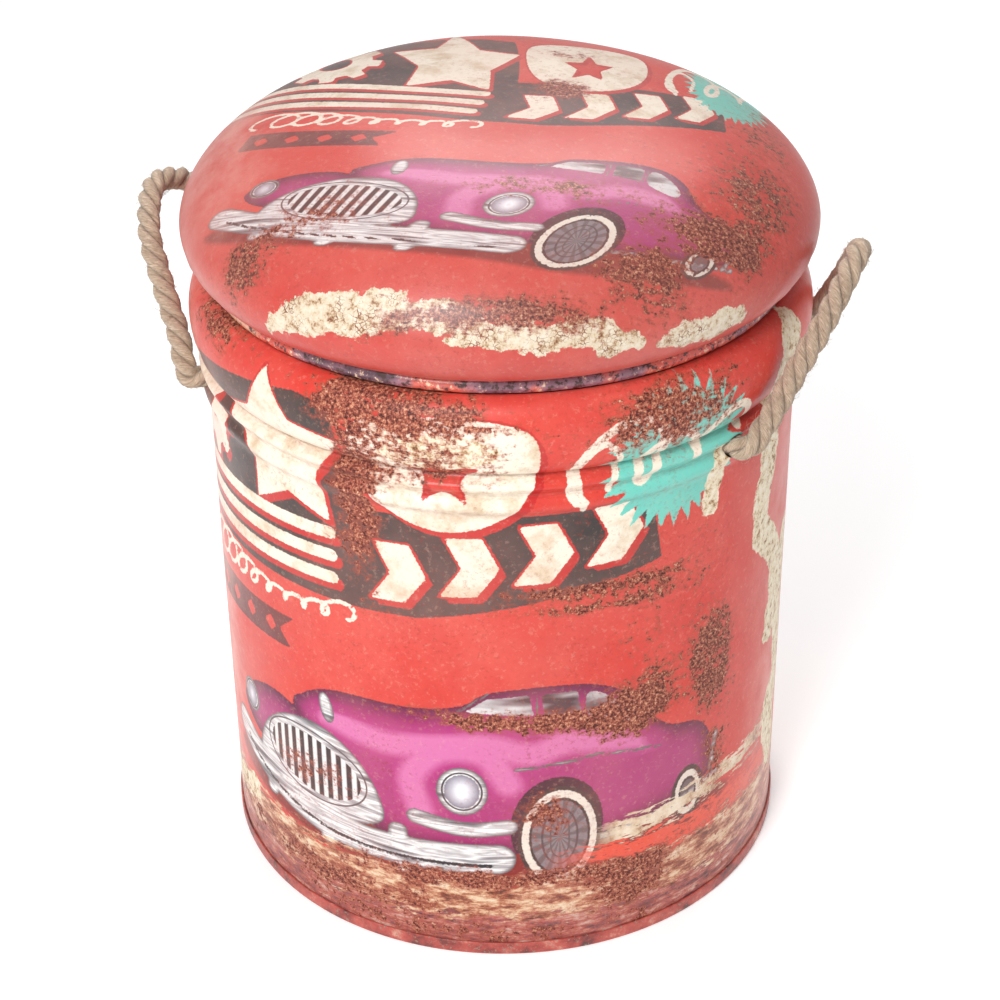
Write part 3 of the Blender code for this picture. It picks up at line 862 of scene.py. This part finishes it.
def drum_sections():
    """Outer and inner lines of the wall, and the curl, from foot to mouth."""
    foot = SHEET + GAP
    outside = [(WALL_R, foot)] + line((WALL_R, foot), (WALL_R, PLAIN_TOP), WALL_ROW)
    coarse = [(WALL_R, foot)] + line((WALL_R, foot), (WALL_R, PLAIN_TOP), 45 * MM)
    for low, high in (((WALL_R, PLAIN_TOP), RIDGE_LOW), (RIDGE_LOW, VALLEY),
                      (VALLEY, RIDGE_HIGH), (RIDGE_HIGH, NECK)):
        outside += eased(low, high, 6)
        coarse += eased(low, high, 4)
    shoulder = []
    for i in range(1, 13):
        a = radians(7.5 * i)
        shoulder.append((NECK[0] + (SHOULDER[0] - NECK[0]) * sin(a),
                         SHOULDER[1] - (SHOULDER[1] - NECK[1]) * cos(a)))
    for i in range(1, 16):
        a = radians(6 * i)
        shoulder.append((RIM_R + (SHOULDER[0] - RIM_R) * cos(a),
                         SHOULDER[1] + (RIM_TOP - SHOULDER[1]) * sin(a)))
    outside += shoulder
    coarse += shoulder[2::3]
    curl = arc((RIM_R, RIM_TOP - CURL_R), CURL_R, 90, 300, 9)[1:]
    inner_curl = arc((RIM_R, RIM_TOP - CURL_R), CURL_R - SHEET, 300, 90, 5)
    inside = offset(coarse, SHEET)[:-1]
    inside[0] = (WALL_R - SHEET, foot)
    return outside + curl, inner_curl + inside[::-1]


def dented(points, radius, angle):
    """Very slight unevenness of rolled sheet, in and out together."""
    z = points[:, 2]
    wave = (np.sin(3 * angle + 9 * z) * np.sin(21 * z + 1)
            + 0.6 * np.sin(7 * angle - 31 * z + 2) + 0.4 * np.sin(13 * angle + 47 * z))
    fade = np.clip((0.262 - z) / 0.03, 0, 1) * np.clip((z - 0.01) / 0.03, 0, 1)
    change = 0.10 * MM * wave * fade
    points[:, 0] += change * np.cos(angle)
    points[:, 1] += change * np.sin(angle)
    return points


def cut_rope_holes(mesh):
    """Open a round hole through both faces of the wall at each end of each rope."""
    bm = bmesh.new()
    bm.from_mesh(mesh)
    for middle in HANDLE_MIDDLE.values():
        for azimuth in (middle - HOLE_HALF_SPAN, middle + HOLE_HALF_SPAN):
            a = radians(azimuth)
            outward, sideways = Vector((cos(a), sin(a), 0)), Vector((-sin(a), cos(a), 0))

            def away(co):
                return Vector((co.dot(sideways), co.z - HOLE_Z))

            def ahead(face):
                centre = face.calc_center_median()
                return centre.dot(outward) > 0.14 and away(centre).length < HOLE_R
            bmesh.ops.delete(bm, geom=[f for f in bm.faces if ahead(f)], context="FACES")
            rim = [e for e in bm.edges if e.is_boundary]
            for vert in {v for e in rim for v in e.verts}:
                flat = away(vert.co)
                moved = flat * (HOLE_R / flat.length)
                vert.co = (outward * vert.co.dot(outward) + sideways * moved.x
                           + Vector((0, 0, HOLE_Z + moved.y)))
            bmesh.ops.bridge_loops(bm, edges=rim)
    bm.to_mesh(mesh)
    bm.free()


def make_drum():
    outer, inner = drum_sections()
    mesh = revolve("drum_skin", outer + inner, DRUM_COLUMNS, move=dented)
    cut_rope_holes(mesh)
    face_outward(mesh)
    co = points_of(mesh)
    radius = np.hypot(co[:, 0], co[:, 1])
    u, v = sheet_of_azimuth(co[:, 0], co[:, 1], co[:, 2])
    wall_line = np.array(outer[:-8])
    outer_radius = np.interp(co[:, 2], wall_line[:, 1], wall_line[:, 0])
    printed = radius > outer_radius - 0.5 * SHEET
    rust, flaked, pale = drum_wear_and_sheen(u, v)
    print_on(mesh, u, v, rust, flaked, pale, printed)
    inside_faces = np.zeros(len(mesh.polygons), np.int32)
    for face in mesh.polygons:
        if not all(printed[i] for i in face.vertices):
            inside_faces[face.index] = 1
    mesh.materials.append(printed_tin())
    mesh.materials.append(plain_tin())
    mesh.polygons.foreach_set("material_index", inside_faces)
    mesh.shade_smooth()
    mesh.set_sharp_from_angle(angle=radians(50))
    drum = add_piece("drum_skin", mesh)
    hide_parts("drum_shell")
    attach(drum, "drum")


def drum_wear_and_sheen(u, v):
    """Where the drum's print shows rust and bare plaster, and where a pale painted reflection
    lies near its left and right edges.
    """
    p = np.stack([u, v], axis=1)
    rust = rust_of(u, v, [
        (-0.17, 2.16, 0.30, 0.08, 1.0), (-0.98, 2.20, 0.25, 0.08, 0.8),
        (0.70, 2.08, 0.28, 0.12, 0.9), (0.95, 1.05, 0.10, 0.16, 1.0),
        (-0.30, 1.80, 0.09, 0.35, 0.9), (0.24, 0.99, 0.42, 0.05, 0.95, -3),
        (0.60, 0.98, 0.14, 0.12, 0.9), (-0.03, 1.98, 0.22, 0.12, 0.6),
        (0.45, 1.49, 0.30, 0.035, 0.9), (0.45, 1.42, 0.30, 0.03, 0.7),
        (0.75, 1.25, 0.25, 0.30, 0.35), (0.62, 0.24, 0.16, 0.08, 1.1),
        (-0.55, 0.20, 0.7, 0.07, 0.7), (0.30, 0.60, 0.10, 0.12, 0.7),
        (-0.58, 0.60, 0.20, 0.12, 0.5), (0.10, 0.33, 0.7, 0.05, 0.8),
        (-0.05, 0.08, 1.4, 0.06, 0.5), (0.98, 0.62, 0.12, 0.30, 0.5)])
    flaked = joined(
        bend(p, [(1.30, 2.14), (1.22, 1.95), (1.25, 1.70), (1.20, 1.45), (1.32, 1.30),
                 (1.38, 1.15), (1.35, 0.95)], 0.13),
        bend(p, [(1.52, 1.22), (1.46, 1.00), (1.50, 0.70), (1.40, 0.55), (1.47, 0.35)], 0.16),
        stroke(p, [(0.92, 1.86), (0.90, 1.66)], 0.07),
        oval(p, (-0.02, 2.03), (0.20, 0.08), 4) + 0.015,
        bend(p, [(-1.5, 0.30), (-1.2, 0.22), (-0.95, 0.30)], 0.10)) * WALL_R / MM
    # Painted reflection: a pale sheen down the drum's left edge and a weaker one near its right
    # edge.
    pale = 0.9 * soft_spot(u, v, (-1.35, 1.0), (0.30, 1.1)) \
        + 0.5 * soft_spot(u, v, (1.45, 0.8), (0.22, 1.0))
    return rust, np.clip(flaked, -FLAKE_REACH, FLAKE_REACH), np.clip(pale, 0, 1)


def make_bottom():
    skirt_in = WALL_R + GAP
    leg_out = WALL_R - SHEET - GAP
    leg_in = leg_out - SHEET
    turn = 0.0008
    section = [(0, PANEL_Z), (0.06, PANEL_Z), (0.12, PANEL_Z), (leg_in, PANEL_Z),
               (leg_in, 0.0004), (leg_in + 0.0004, 0)]
    section += arc((CHIME_R - turn, turn), turn, -90, 0, 4)
    section += [(CHIME_R + 0.00005, CHIME_H / 2)]
    section += arc((CHIME_R - turn * 0.5, CHIME_H - turn * 0.5), turn * 0.5, 0, 90, 3)
    section += [(skirt_in, CHIME_H), (skirt_in, SHEET), (leg_out, SHEET),
                (leg_out, PANEL_Z + SHEET), (0.135, PANEL_Z + SHEET),
                (0.130, PANEL_Z + SHEET + 0.0006), (0.125, PANEL_Z + SHEET + 0.0006),
                (0.120, PANEL_Z + SHEET), (0, PANEL_Z + SHEET)]
    mesh = revolve("foot_and_bottom", section, FOOT_COLUMNS, closed=False)
    face_outward(mesh)
    mesh.materials.append(foot_tin())
    mesh.materials.append(plain_tin())
    for face in mesh.polygons:
        centre = face.center
        if Vector(centre[:2]).length < leg_in - 0.0001:
            face.material_index = 1
    mesh.shade_smooth()
    mesh.set_sharp_from_angle(angle=radians(40))
    bottom = add_piece("foot_and_bottom", mesh)
    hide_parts("drum_bottom")
    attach(bottom, "drum")


# Lid ------------------------
def seat_line():
    """Outer line of the seat from its foot to the top, evenly dense."""
    low = [(COVER_FOOT[0] + (SEAT_R - COVER_FOOT[0]) * sin(a),
            SEAT_Z - (SEAT_Z - COVER_FOOT[1]) * cos(a))
           for a in np.radians(np.linspace(0, 90, 40))]
    high = [(SEAT_R * max(cos(a), 0) ** (2 / DOME_ROUND),
             SEAT_Z + (SEAT_TOP - SEAT_Z) * sin(a) ** (2 / DOME_FLAT))
            for a in np.linspace(0, pi / 2, 600)[1:]]
    high[-1] = (0.0, SEAT_TOP)
    dense = np.array(low + high)
    run = run_along(dense)
    count = round(run[-1] / SEAT_ROW)
    wanted = np.linspace(0, run[-1], count + 1)
    even = [(np.interp(w, run, dense[:, 0]), np.interp(w, run, dense[:, 1])) for w in wanted]
    return even, run[-1] - wanted


def seat_swell(points, radius, angle):
    """Soft unevenness of foam under a pulled cover: low swells and faint tucks at the foot."""
    z = points[:, 2]
    flat = np.clip((z - COVER_FOOT[1] - 0.004) / 0.02, 0, 1)
    swell = (np.sin(2 * angle + 0.6) * np.sin(26 * radius + 1)
             + 0.6 * np.sin(5 * angle + 2.1) * np.sin(40 * radius)) * 0.45 * MM
    side = np.exp(-((z - 0.352) / 0.006) ** 2)
    tucks = (np.sin(46 * angle) + 0.7 * np.sin(71 * angle + 1.3)) * 0.16 * MM * side
    points[:, 2] += swell * flat * np.clip(radius / 0.05, 0, 1)
    points[:, 0] += tucks * np.cos(angle)
    points[:, 1] += tucks * np.sin(angle)
    return points


def sheet_of_seat(co):
    """Artwork coordinates on the dome: the sheet is stretched down over its edge."""
    dense, from_top = seat_line()
    heights = np.array([z for _, z in dense])
    radii = np.array([r for r, _ in dense])
    widest = int(np.argmax(radii))
    radius = np.hypot(co[:, 0], co[:, 1])
    by_height = np.interp(co[:, 2], heights, from_top)
    by_radius = np.interp(radius, radii[widest:][::-1], from_top[widest:][::-1])
    share = np.clip((radius / SEAT_R - 0.70) / 0.22, 0, 1)
    share[co[:, 2] < SEAT_Z] = 1
    reach = (by_radius + (by_height - by_radius) * share) / WALL_R
    angle = np.arctan2(co[:, 1], co[:, 0])
    x, y = reach * np.cos(angle), reach * np.sin(angle)
    u = -0.37 + 1.24 * x - 0.30 * y + 0.24 * x * x + 0.22 * x * y + 0.31 * y * y
    v = 1.69 + 0.28 * x + 1.08 * y - 0.35 * x * x - 0.47 * y * y
    v = v + 6.0 * np.clip(reach - 0.98, 0, None) ** 2 * np.clip(y / 0.3, 0, 1)
    return u, v, x, y


def seat_wear_and_sheen(x, y):
    """Where the seat's print shows rust and bare plaster, and where a pale painted highlight
    lies at its left edge.
    """
    p = np.stack([x, y], axis=1)
    rust = rust_of(x, y, [
        (0.82, -0.42, 0.20, 0.26, 0.70), (0.62, -0.72, 0.25, 0.10, 0.65),
        (0.45, -0.92, 0.20, 0.10, 0.9), (-0.05, -1.08, 0.45, 0.06, 0.8),
        (0.20, 0.00, 0.10, 0.08, 1.0), (0.10, -0.62, 0.30, 0.06, 0.6),
        (-0.55, -0.65, 0.20, 0.10, 0.6), (-0.85, -0.70, 0.12, 0.12, 0.8),
        (0.25, 0.35, 0.14, 0.10, 0.5), (0.75, -0.70, 0.10, 0.06, 0.9),
        (0.05, 0.62, 0.5, 0.10, 0.3), (0.90, 0.10, 0.12, 0.30, 0.4)])
    flaked = joined(oval(p, (-0.45, -1.02), (0.42, 0.065), -14),
                    oval(p, (0.15, -1.14), (0.34, 0.05), 3),
                    oval(p, (0.72, -1.00), (0.20, 0.05), 35)) * WALL_R / MM
    # Painted highlight: a pale sheen at the seat's left edge.
    pale = 0.6 * soft_spot(x, y, (-0.95, 0.1), (0.22, 0.6))
    return rust, np.clip(flaked, -FLAKE_REACH, FLAKE_REACH), np.clip(pale, 0, 1)


def make_seat():
    outer, _ = seat_line()
    foot_z = COVER_FOOT[1]
    inner = offset(outer[::6] + [outer[-1]], COVER)
    inner[0] = (COVER_FOOT[0] - COVER / 2, foot_z + COVER)
    inner[-1] = (0, SEAT_TOP - COVER)
    tuck = [(COVER_TUCK_R, foot_z + COVER), (COVER_TUCK_R, foot_z), (0.143, foot_z),
            (0.1455, foot_z)]
    section = inner[::-1] + tuck + outer
    mesh = revolve("padded_seat", section, SEAT_COLUMNS, closed=False, move=seat_swell)
    face_outward(mesh)
    co = points_of(mesh)
    u, v, x, y = sheet_of_seat(co)
    print_on(mesh, u, v, *seat_wear_and_sheen(x, y), np.ones(len(u), bool))
    mesh.shade_smooth()
    mesh.set_sharp_from_angle(angle=radians(60))
    seat = add_piece("padded_seat", mesh, printed_leatherette())
    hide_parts("seat_cover")
    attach(seat, "lid")


def make_hoop():
    section = arc((HOOP_RING_R, HOOP_Z), HOOP_R, 0, 360, HOOP_SIDES)[:-1]
    mesh = revolve("edge_hoop", section, HOOP_COLUMNS)
    face_outward(mesh)
    mesh.shade_smooth()
    hoop = add_piece("edge_hoop", mesh, printed_hoop())
    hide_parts("lid_hoop")
    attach(hoop, "lid")


def dress_hidden_parts():
    looks = {
        "seat_board": board_wood("board_wood", tone(206, 172, 124), tone(168, 128, 84), 8),
        "locating_disc": board_wood("disc_wood", tone(188, 158, 118), tone(164, 132, 94), 1),
        "lid_liner": liner_cloth(),
        "seat_foam": foam_stuff(),
        "rim_wire": zinc_steel("wire_steel", tone(160, 160, 160), 0.35),
    }
    screw = zinc_steel("screw_steel", tone(196, 176, 120), 0.3)
    for name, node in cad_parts.items():
        if name.startswith("lid_screw"):
            looks[name] = screw
        if name in looks:
            node.data.materials.clear()
            node.data.materials.append(looks[name])


# Rope ------------------------
def place(radius, azimuth, height):
    a = radians(azimuth)
    return np.array([radius * cos(a), radius * sin(a), height])


# Radius / WALL_R, azimuth in degrees, height / WALL_R, from inside the front hole to
# inside the back one.
ROUTES = {
    "right": [(0.93, -44, 1.865), (1.01, -44, 1.865), (1.070, -43.3, 1.872),
              (1.085, -39, 1.945), (1.105, -33, 2.06), (1.155, -26.5, 2.225),
              (1.19, -17, 2.35), (1.175, -8, 2.26), (1.13, -2, 2.09), (1.092, 4, 1.945),
              (1.073, 11, 1.870), (1.01, 12, 1.865), (0.93, 12, 1.865)],
    "left": [(0.93, 192, 1.865), (1.01, 192, 1.865), (1.070, 191.2, 1.872),
             (1.09, 186, 1.98), (1.145, 179.5, 2.13), (1.195, 173.5, 2.255),
             (1.225, 164, 2.325), (1.19, 154, 2.24), (1.13, 148.5, 2.09),
             (1.094, 143, 1.95), (1.072, 136.8, 1.870), (1.01, 136, 1.865),
             (0.93, 136, 1.865)],
}


def even_curve(points, step):
    dense = np.array(rounded(points, closed=False, steps=30))
    run = run_along(dense)
    wanted = np.linspace(0, run[-1], round(run[-1] / step) + 1)
    return np.stack([np.interp(wanted, run, dense[:, k]) for k in range(3)], axis=1), run[-1]


def frames_along(path):
    """Tangent and two turning-free normals at each point of a path."""
    tangent = np.gradient(path, axis=0)
    tangent /= np.linalg.norm(tangent, axis=1)[:, None]
    normal = np.cross(tangent[0], [0, 0, 1.0])
    normal /= np.linalg.norm(normal)
    normals = [normal]
    for t in tangent[1:]:
        normal = normal - t * (normal @ t)
        normal /= np.linalg.norm(normal)
        normals.append(normal)
    normals = np.array(normals)
    return tangent, normals, np.cross(tangent, normals)


STRANDS = 3
LAY_LENGTH = 0.034          # one full turn of a strand round the rope
STRAND_TWIST = 0.8          # a strand's own turn, as a share of the lay length
YARNS = 8                   # grooves round one strand
FIBRE_REACH = 1.5           # how far a fibre stands from the rope's middle, in radii
KNOT_ROOT_R = 0.1478        # where a knot starts, just inside the wall
KNOT_TURNS = 1.6
KNOT_REACH = 0.0066         # radius of a knot's coil
KNOT_DEPTH = 0.0095         # how far the coil winds in from its start


def lay_rope(name, path, thickness, taper_ends=False, fibres=0, seed=1):
    """Strands twisted about a path, with grooved yarns and loose fibres."""
    run = run_along(path)
    tangent, side, up = frames_along(path)
    helix_r, strand_r = 0.50 * thickness, 0.54 * thickness
    phi = np.arange(STRAND_SIDES) * 2 * pi / STRAND_SIDES
    points, faces, lay = [], [], []
    for k in range(STRANDS):
        turn = -2 * pi * run / LAY_LENGTH + 2 * pi * k / STRANDS
        radial = side * np.cos(turn)[:, None] + up * np.sin(turn)[:, None]
        centre = path + radial * helix_r
        t, _, _ = frames_along(centre)
        out = radial - t * (radial * t).sum(axis=1)[:, None]
        out /= np.linalg.norm(out, axis=1)[:, None]
        across = np.cross(t, out)
        angle = phi[None, :] + 0 * run[:, None]
        own_twist = run[:, None] * 2 * pi / (LAY_LENGTH * STRAND_TWIST)
        groove = 1 + 0.085 * np.cos(YARNS * (angle + own_twist)) \
            + 0.02 * np.sin(3 * angle + 160 * run[:, None] + k)
        squeeze = 1 - 0.10 * np.clip(-np.cos(angle), 0, 1)
        r = strand_r * groove * squeeze
        if taper_ends:
            r = r * np.clip(1.15 - (run / run[-1])[:, None] ** 6, 0.25, 1)
        ring = (centre[:, None, :] + out[:, None, :] * (r * np.cos(angle))[:, :, None]
                + across[:, None, :] * (r * np.sin(angle))[:, :, None])
        base = sum(len(q) for q in points)
        points.append(ring.reshape(-1, 3))
        turned_round = (angle + own_twist) / (2 * pi) + 3 * k
        # The third number is how far each point faces out from the rope's middle; the rope's
        # material paints shade where it is low.
        lay.append(np.stack([
            turned_round.ravel(), (run[:, None] * 20 + 0 * angle).ravel(),
            np.clip(0.5 + 0.5 * np.cos(angle), 0, 1).ravel()], axis=1))
        index = base + np.arange(len(run) * STRAND_SIDES).reshape(len(run), STRAND_SIDES)
        faces += quads_between(index)
        faces.append(index[0][::-1].tolist())
        faces.append(index[-1].tolist())
    points, lay = np.concatenate(points), np.concatenate(lay)
    if fibres:
        more, more_faces = loose_fibres(path, tangent, side, up, thickness, fibres, seed,
                                        len(points))
        points = np.vstack([points, more])
        faces += more_faces
        # Fibres are marked as facing fully out, so they get no painted crevice shade.
        extra = np.stack([np.arange(len(more)) * 0.37, np.arange(len(more)) * 0.11,
                          np.ones(len(more))], axis=1)
        lay = np.vstack([lay, extra])
    mesh = new_mesh(name, points, faces)
    add_vector(mesh, "lay", *lay.T)
    mesh.shade_smooth()
    return mesh


def loose_fibres(path, tangent, side, up, thickness, count, seed, first):
    """Short three-sided hairs that stand off the rope."""
    chance = np.random.default_rng(seed)
    points, faces = [], []
    parts = 4
    for _ in range(count):
        i = int(chance.integers(2, len(path) - 2))
        a = chance.uniform(0, 2 * pi)
        out = side[i] * cos(a) + up[i] * sin(a)
        around = np.cross(tangent[i], out)
        length = chance.uniform(0.003, 0.009)
        lean = chance.uniform(-1.2, 1.2)
        heading = around * chance.choice([-1, 1]) * 0.6 + tangent[i] * lean
        heading = heading / np.linalg.norm(heading)
        start = path[i] + out * thickness * 0.90
        lift = chance.uniform(0.08, 0.42)
        base = first + len(points)
        for j in range(parts + 1):
            s_along = j / parts
            middle = start + heading * length * s_along \
                + out * length * lift * sin(pi * 0.75 * s_along)
            width = 0.00010 * (1 - 0.7 * s_along)
            for m in range(3):
                b = 2 * pi * m / 3
                points.append(middle + width * (out * cos(b) + np.cross(heading, out) * sin(b)))
        for k in range(-3 * (parts + 1), 0):
            nearest = path[np.argmin(((path - points[k]) ** 2).sum(axis=1))]
            gap = points[k] - nearest
            reach = np.linalg.norm(gap)
            points[k] = nearest + gap * min(1, FIBRE_REACH * thickness / reach)
        for j in range(parts):
            for m in range(3):
                p0, p1 = base + 3 * j + m, base + 3 * j + (m + 1) % 3
                faces.append([p0, p1, p1 + 3, p0 + 3])
        faces.append([base + 2, base + 1, base])
        top = base + 3 * parts
        faces.append([top, top + 1, top + 2])
    return np.array(points), faces


def make_handles(look):
    for side, stations in ROUTES.items():
        knots = [place(r * WALL_R, az, z * WALL_R) for r, az, z in stations]
        path, length = even_curve(knots, ROPE_STEP)
        mesh = lay_rope(side + "_rope", path, ROPE_R * 0.96, fibres=620, seed=len(side))
        face_outward(mesh)
        rope = add_piece(side + "_rope", mesh, look)
        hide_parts(side + "_handle")
        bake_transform(rope)


def make_knots(look):
    """A wound stopper knot inside the wall at each rope end."""
    for side, middle in HANDLE_MIDDLE.items():
        low, high = middle - HOLE_HALF_SPAN, middle + HOLE_HALF_SPAN
        front, back = sorted((low, high), key=lambda az: sin(radians(az)))
        for end, azimuth in (("front", front), ("back", back)):
            a = radians(azimuth)
            inward = np.array([-cos(a), -sin(a), 0.0])
            across = np.array([-sin(a), cos(a), 0.0])
            rise = np.array([0, 0, 1.0])
            root = place(KNOT_ROOT_R, azimuth, HOLE_Z)
            stations = []
            for t in np.arange(15) / 14:
                turn = 2 * pi * KNOT_TURNS * t
                reach = KNOT_REACH * min(1, 4 * t)
                stations.append(root + inward * (0.001 + KNOT_DEPTH * t)
                                + across * reach * cos(turn) + rise * reach * sin(turn))
            stations.append(stations[-1] + inward * 0.004 - rise * 0.006)
            path, _ = even_curve(stations, ROPE_STEP)
            name = "knot_%s_%s" % (side, end)
            mesh = lay_rope(name, path, ROPE_R * 0.80, taper_ends=True, fibres=60,
                            seed=azimuth % 97)
            face_outward(mesh)
            knot = add_piece(name, mesh, look)
            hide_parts("rope_knot_%s_%s" % (side, end))
            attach(knot, "drum")


# Stage ------------------------
def make_camera():
    aim = Vector((-0.00153, 0, 0.18794))
    distance, elevation, azimuth, roll = 1.30295, 31.783, -0.079, -0.662
    e, a = radians(elevation), radians(azimuth)
    back = Vector((sin(a) * cos(e), -cos(a) * cos(e), sin(e)))
    camera = bpy.data.objects.new("camera", bpy.data.cameras.new("camera"))
    bpy.context.scene.collection.objects.link(camera)
    camera.location = aim + back * distance
    facing = (-back).to_track_quat("-Z", "Y")
    camera.rotation_mode = "QUATERNION"
    camera.rotation_quaternion = facing @ Quaternion((0, 0, 1), radians(roll))
    camera.data.lens = 86.39
    camera.data.sensor_width = 36
    bpy.context.scene.camera = camera


def add_light(name, place_at, aim, size, power, colour=(1, 1, 1)):
    light = bpy.data.lights.new(name, "AREA")
    light.shape = "RECTANGLE"
    light.size, light.size_y = size
    light.energy = power
    light.color = colour
    holder = bpy.data.objects.new(name, light)
    bpy.context.scene.collection.objects.link(holder)
    holder.location = place_at
    holder.rotation_mode = "QUATERNION"
    holder.rotation_quaternion = (Vector(aim) - Vector(place_at)).to_track_quat("-Z", "Y")


def make_stage():
    mesh = bpy.data.meshes.new("floor")
    half = 40.0
    mesh.from_pydata([(-half, -half, 0), (half, -half, 0), (half, half, 0), (-half, half, 0)],
                     [], [(0, 1, 2, 3)])
    s = Shader("floor_paper", Emission_Color=(1, 1, 1, 1), Emission_Strength=0.12)
    paper = s.finished(s.mix(s.noise(3), tone(250, 250, 250), tone(254, 254, 254)),
                       s.between(s.noise(20), 0.3, 0.7, 0.75, 0.85))
    floor = add_piece("floor", mesh, paper)
    floor.location.z = -0.0002
    world = bpy.data.worlds.new("studio")
    world.use_nodes = True
    world.node_tree.nodes["Background"].inputs[0].default_value = (1, 1, 1, 1)
    world.node_tree.nodes["Background"].inputs[1].default_value = 0.40
    bpy.context.scene.world = world
    add_light("key", (-0.75, -1.45, 1.5), (0, 0, 0.2), (0.8, 1.0), 26)
    add_light("top_back", (0.2, 1.1, 1.7), (0, 0, 0.3), (1.4, 0.7), 20)
    add_light("front_strip", (-0.40, -1.15, 1.45), (0, 0, 0.3), (0.55, 0.22), 9)
    add_light("fill", (1.6, -0.6, 0.8), (0, 0, 0.2), (0.4, 1.2), 2)
    bpy.context.scene.view_settings.view_transform = "Standard"


make_camera()
make_stage()
rope_look = jute()
make_handles(rope_look)
make_knots(rope_look)
make_drum()
make_bottom()
make_seat()
make_hoop()
dress_hidden_parts()
